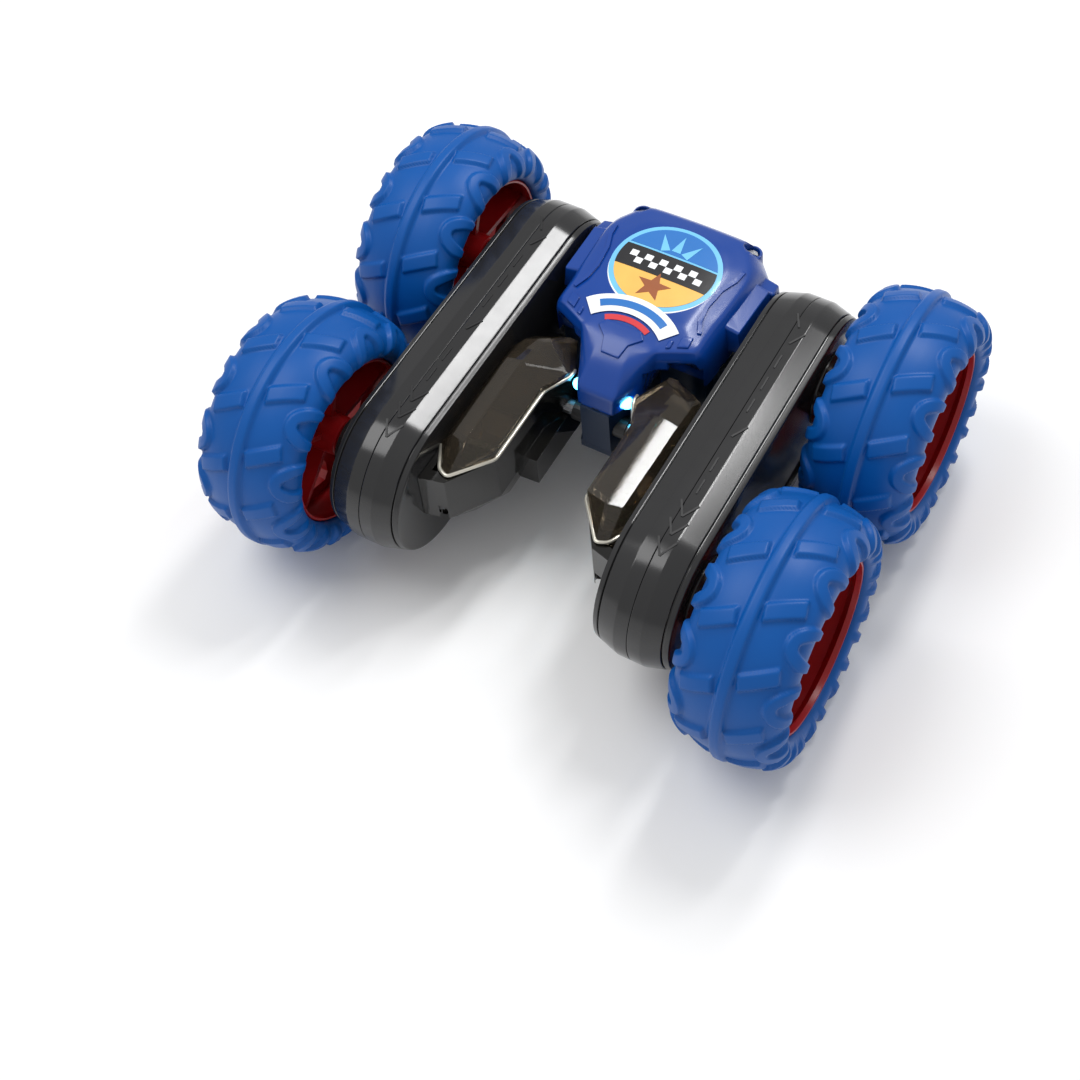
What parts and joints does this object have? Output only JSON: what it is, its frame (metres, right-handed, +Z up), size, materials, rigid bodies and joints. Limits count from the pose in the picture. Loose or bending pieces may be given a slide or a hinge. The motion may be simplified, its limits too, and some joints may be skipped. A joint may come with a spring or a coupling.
{
  "type": "rc stunt car",
  "caption": "Double-sided radio-controlled stunt car with big treaded wheels on two swinging gear-case arms and a wedge-nosed central body.",
  "frame": {"origin": "centre of the four tyres' footprint, on the floor", "axes": "+X along the wheel axles, to the right as seen from in front of the nose, so nodes named right are at +X; -Y towards the nose; +Z up"},
  "size_m": [0.167, 0.1436, 0.07],
  "materials": {
    "hood_blue": "glossy injection-moulded blue",
    "chassis_navy": "glossy dark blue",
    "tyre_blue": "soft blue rubber, satin",
    "rim_red": "glossy red",
    "arm_black": "glossy black with a satin centre band",
    "black_matte": "fine satin black",
    "smoke_clear": "clear smoke-brown moulding",
    "steel": "bright zinc-plated steel",
    "brass": "plain turned brass",
    "nylon": "natural white nylon",
    "board_green": "green solder mask",
    "lens_cool": "clear cool-white lens",
    "cell_wrap": "heat-shrink sleeve",
    "badge_print": "printed gloss sticker"
  },
  "bodies": {
    "chassis": {"body_shell_upper": "hood_blue", "body_shell_lower": "chassis_navy", "battery_door": "chassis_navy", "chassis_frame": "chassis_navy", "door_screw": "steel", "shell_screw_left": "steel", "shell_screw_right": "steel", "pivot_shaft": "steel", "pivot_bush_left": "black_matte", "pivot_bush_right": "black_matte", "battery_cell": "cell_wrap", "control_board": "board_green", "charge_socket": "black_matte", "headlight_left": "lens_cool", "headlight_right": "lens_cool", "hood_badge": "badge_print"},
    "power_switch": {"power_switch": "black_matte"},
    "arm_left": {"gear_case_outer_left": "arm_black", "gear_case_inner_left": "arm_black", "pod_base_left": "black_matte", "pod_cover_left": "smoke_clear", "drive_motor_left": "steel", "light_board_left": "board_green", "case_screw_left": "steel"},
    "wheel_front_left": {"tyre_front_left": "tyre_blue", "rim_front_left": "rim_red", "axle_front_left": "steel", "axle_gear_front_left": "nylon", "hub_cap_front_left": "rim_red"},
    "wheel_rear_left": {"tyre_rear_left": "tyre_blue", "rim_rear_left": "rim_red", "axle_rear_left": "steel", "axle_gear_rear_left": "nylon", "hub_cap_rear_left": "rim_red"},
    "reduction_left": {"reduction_gear_left": "nylon"},
    "idler_front_left": {"idler_gear_front_left": "nylon"},
    "idler_rear_left": {"idler_gear_rear_left": "nylon"},
    "pinion_left": {"motor_pinion_left": "brass"},
    "arm_right": {"gear_case_outer_right": "arm_black", "gear_case_inner_right": "arm_black", "pod_base_right": "black_matte", "pod_cover_right": "smoke_clear", "drive_motor_right": "steel", "light_board_right": "board_green", "case_screw_right": "steel"},
    "wheel_front_right": {"tyre_front_right": "tyre_blue", "rim_front_right": "rim_red", "axle_front_right": "steel", "axle_gear_front_right": "nylon", "hub_cap_front_right": "rim_red"},
    "wheel_rear_right": {"tyre_rear_right": "tyre_blue", "rim_rear_right": "rim_red", "axle_rear_right": "steel", "axle_gear_rear_right": "nylon", "hub_cap_rear_right": "rim_red"},
    "reduction_right": {"reduction_gear_right": "nylon"},
    "idler_front_right": {"idler_gear_front_right": "nylon"},
    "idler_rear_right": {"idler_gear_rear_right": "nylon"},
    "pinion_right": {"motor_pinion_right": "brass"}
  },
  "joints": [
    {"name": "power_switch_slide", "type": "slide", "parent": "chassis", "child": "power_switch", "axis": [1, 0, 0], "range_m": [0, 0.003]},
    {"name": "arm_left_swing", "type": "hinge", "parent": "chassis", "child": "arm_left", "pos_m": [-0.013, 0, 0.035], "axis": [1, 0, 0], "range_deg": [-70, 70]},
    {"name": "wheel_front_left_spin", "type": "hinge", "parent": "arm_left", "child": "wheel_front_left", "pos_m": [-0.0688, -0.03675, 0.035], "axis": [1, 0, 0], "continuous": true},
    {"name": "wheel_rear_left_spin", "type": "hinge", "parent": "arm_left", "child": "wheel_rear_left", "pos_m": [-0.0688, 0.03675, 0.035], "axis": [1, 0, 0], "continuous": true},
    {"name": "reduction_left_spin", "type": "hinge", "parent": "arm_left", "child": "reduction_left", "pos_m": [-0.038, 0, 0.035], "axis": [1, 0, 0], "continuous": true},
    {"name": "idler_front_left_spin", "type": "hinge", "parent": "arm_left", "child": "idler_front_left", "pos_m": [-0.043, -0.01837, 0.035], "axis": [1, 0, 0], "continuous": true},
    {"name": "idler_rear_left_spin", "type": "hinge", "parent": "arm_left", "child": "idler_rear_left", "pos_m": [-0.043, 0.01837, 0.035], "axis": [1, 0, 0], "continuous": true},
    {"name": "pinion_left_spin", "type": "hinge", "parent": "arm_left", "child": "pinion_left", "pos_m": [-0.035, -0.01837, 0.035], "axis": [1, 0, 0], "continuous": true},
    {"name": "arm_right_swing", "type": "hinge", "parent": "chassis", "child": "arm_right", "pos_m": [0.013, 0, 0.035], "axis": [1, 0, 0], "range_deg": [-70, 70]},
    {"name": "wheel_front_right_spin", "type": "hinge", "parent": "arm_right", "child": "wheel_front_right", "pos_m": [0.0688, -0.03675, 0.035], "axis": [1, 0, 0], "continuous": true},
    {"name": "wheel_rear_right_spin", "type": "hinge", "parent": "arm_right", "child": "wheel_rear_right", "pos_m": [0.0688, 0.03675, 0.035], "axis": [1, 0, 0], "continuous": true},
    {"name": "reduction_right_spin", "type": "hinge", "parent": "arm_right", "child": "reduction_right", "pos_m": [0.038, 0, 0.035], "axis": [1, 0, 0], "continuous": true},
    {"name": "idler_front_right_spin", "type": "hinge", "parent": "arm_right", "child": "idler_front_right", "pos_m": [0.043, -0.01837, 0.035], "axis": [1, 0, 0], "continuous": true},
    {"name": "idler_rear_right_spin", "type": "hinge", "parent": "arm_right", "child": "idler_rear_right", "pos_m": [0.043, 0.01837, 0.035], "axis": [1, 0, 0], "continuous": true},
    {"name": "pinion_right_spin", "type": "hinge", "parent": "arm_right", "child": "pinion_right", "pos_m": [0.035, -0.01837, 0.035], "axis": [1, 0, 0], "continuous": true}
  ],
  "couplings": [
    {"joint": "reduction_left_spin", "follows": "wheel_front_left_spin", "ratio": 1},
    {"joint": "idler_front_left_spin", "follows": "wheel_front_left_spin", "ratio": -1},
    {"joint": "idler_rear_left_spin", "follows": "wheel_front_left_spin", "ratio": -1},
    {"joint": "pinion_left_spin", "follows": "wheel_front_left_spin", "ratio": -2.5},
    {"joint": "wheel_rear_left_spin", "follows": "wheel_front_left_spin", "ratio": 1},
    {"joint": "reduction_right_spin", "follows": "wheel_front_right_spin", "ratio": 1},
    {"joint": "idler_front_right_spin", "follows": "wheel_front_right_spin", "ratio": -1},
    {"joint": "idler_rear_right_spin", "follows": "wheel_front_right_spin", "ratio": -1},
    {"joint": "pinion_right_spin", "follows": "wheel_front_right_spin", "ratio": -2.5},
    {"joint": "wheel_rear_right_spin", "follows": "wheel_front_right_spin", "ratio": 1}
  ]
}
